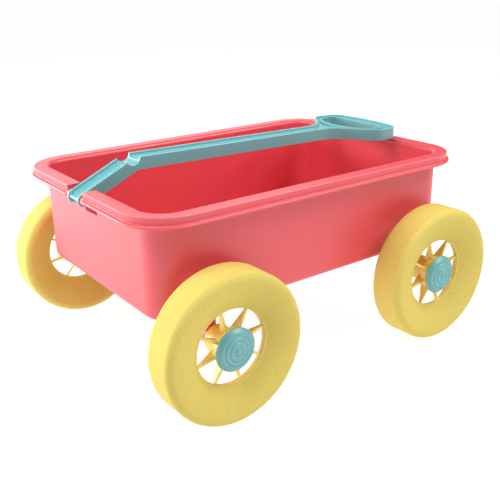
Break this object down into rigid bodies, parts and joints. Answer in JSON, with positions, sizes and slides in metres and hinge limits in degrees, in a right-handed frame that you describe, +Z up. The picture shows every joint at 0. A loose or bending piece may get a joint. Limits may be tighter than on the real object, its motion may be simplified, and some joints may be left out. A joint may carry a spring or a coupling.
{
  "type": "toy pull wagon",
  "caption": "Child's pull wagon: moulded tub with a rolled rim, spoked wheels with soft tyres on steel axles, and a folding pull handle with a loop grip.",
  "frame": {"origin": "on the ground plane under the middle of the tub, midway between the axles", "axes": "+X forward towards the handle's pivot, +Y to the left side, +Z up"},
  "size_m": [0.418, 0.347, 0.2169],
  "materials": {
    "tub_plastic": "satin moulded plastic",
    "handle_plastic": "satin moulded plastic",
    "cap_plastic": "satin moulded plastic",
    "tyre_foam": "matt, finely speckled soft foam",
    "hub_plastic": "satin moulded plastic",
    "steel": "zinc-plated, satin"
  },
  "bodies": {
    "tub": {"tub": "tub_plastic", "front_axle": "steel", "rear_axle": "steel", "retainer_front_left": "steel", "retainer_front_right": "steel", "retainer_rear_left": "steel", "retainer_rear_right": "steel"},
    "handle": {"handle": "handle_plastic"},
    "wheel_front_left": {"tyre_front_left": "tyre_foam", "hub_front_left": "hub_plastic", "cap_front_left": "cap_plastic"},
    "wheel_front_right": {"tyre_front_right": "tyre_foam", "hub_front_right": "hub_plastic", "cap_front_right": "cap_plastic"},
    "wheel_rear_left": {"tyre_rear_left": "tyre_foam", "hub_rear_left": "hub_plastic", "cap_rear_left": "cap_plastic"},
    "wheel_rear_right": {"tyre_rear_right": "tyre_foam", "hub_rear_right": "hub_plastic", "cap_rear_right": "cap_plastic"}
  },
  "joints": [
    {"name": "handle_pivot", "type": "hinge", "parent": "tub", "child": "handle", "pos_m": [0.1962, 0, 0.1844], "axis": [0, 1, 0], "range_deg": [0, 204]},
    {"name": "wheel_front_left_spin", "type": "hinge", "parent": "tub", "child": "wheel_front_left", "pos_m": [0.136, 0.1545, 0.073], "axis": [0, 1, 0], "continuous": true},
    {"name": "wheel_front_right_spin", "type": "hinge", "parent": "tub", "child": "wheel_front_right", "pos_m": [0.136, -0.1545, 0.073], "axis": [0, 1, 0], "continuous": true},
    {"name": "wheel_rear_left_spin", "type": "hinge", "parent": "tub", "child": "wheel_rear_left", "pos_m": [-0.136, 0.1545, 0.073], "axis": [0, 1, 0], "continuous": true},
    {"name": "wheel_rear_right_spin", "type": "hinge", "parent": "tub", "child": "wheel_rear_right", "pos_m": [-0.136, -0.1545, 0.073], "axis": [0, 1, 0], "continuous": true}
  ]
}
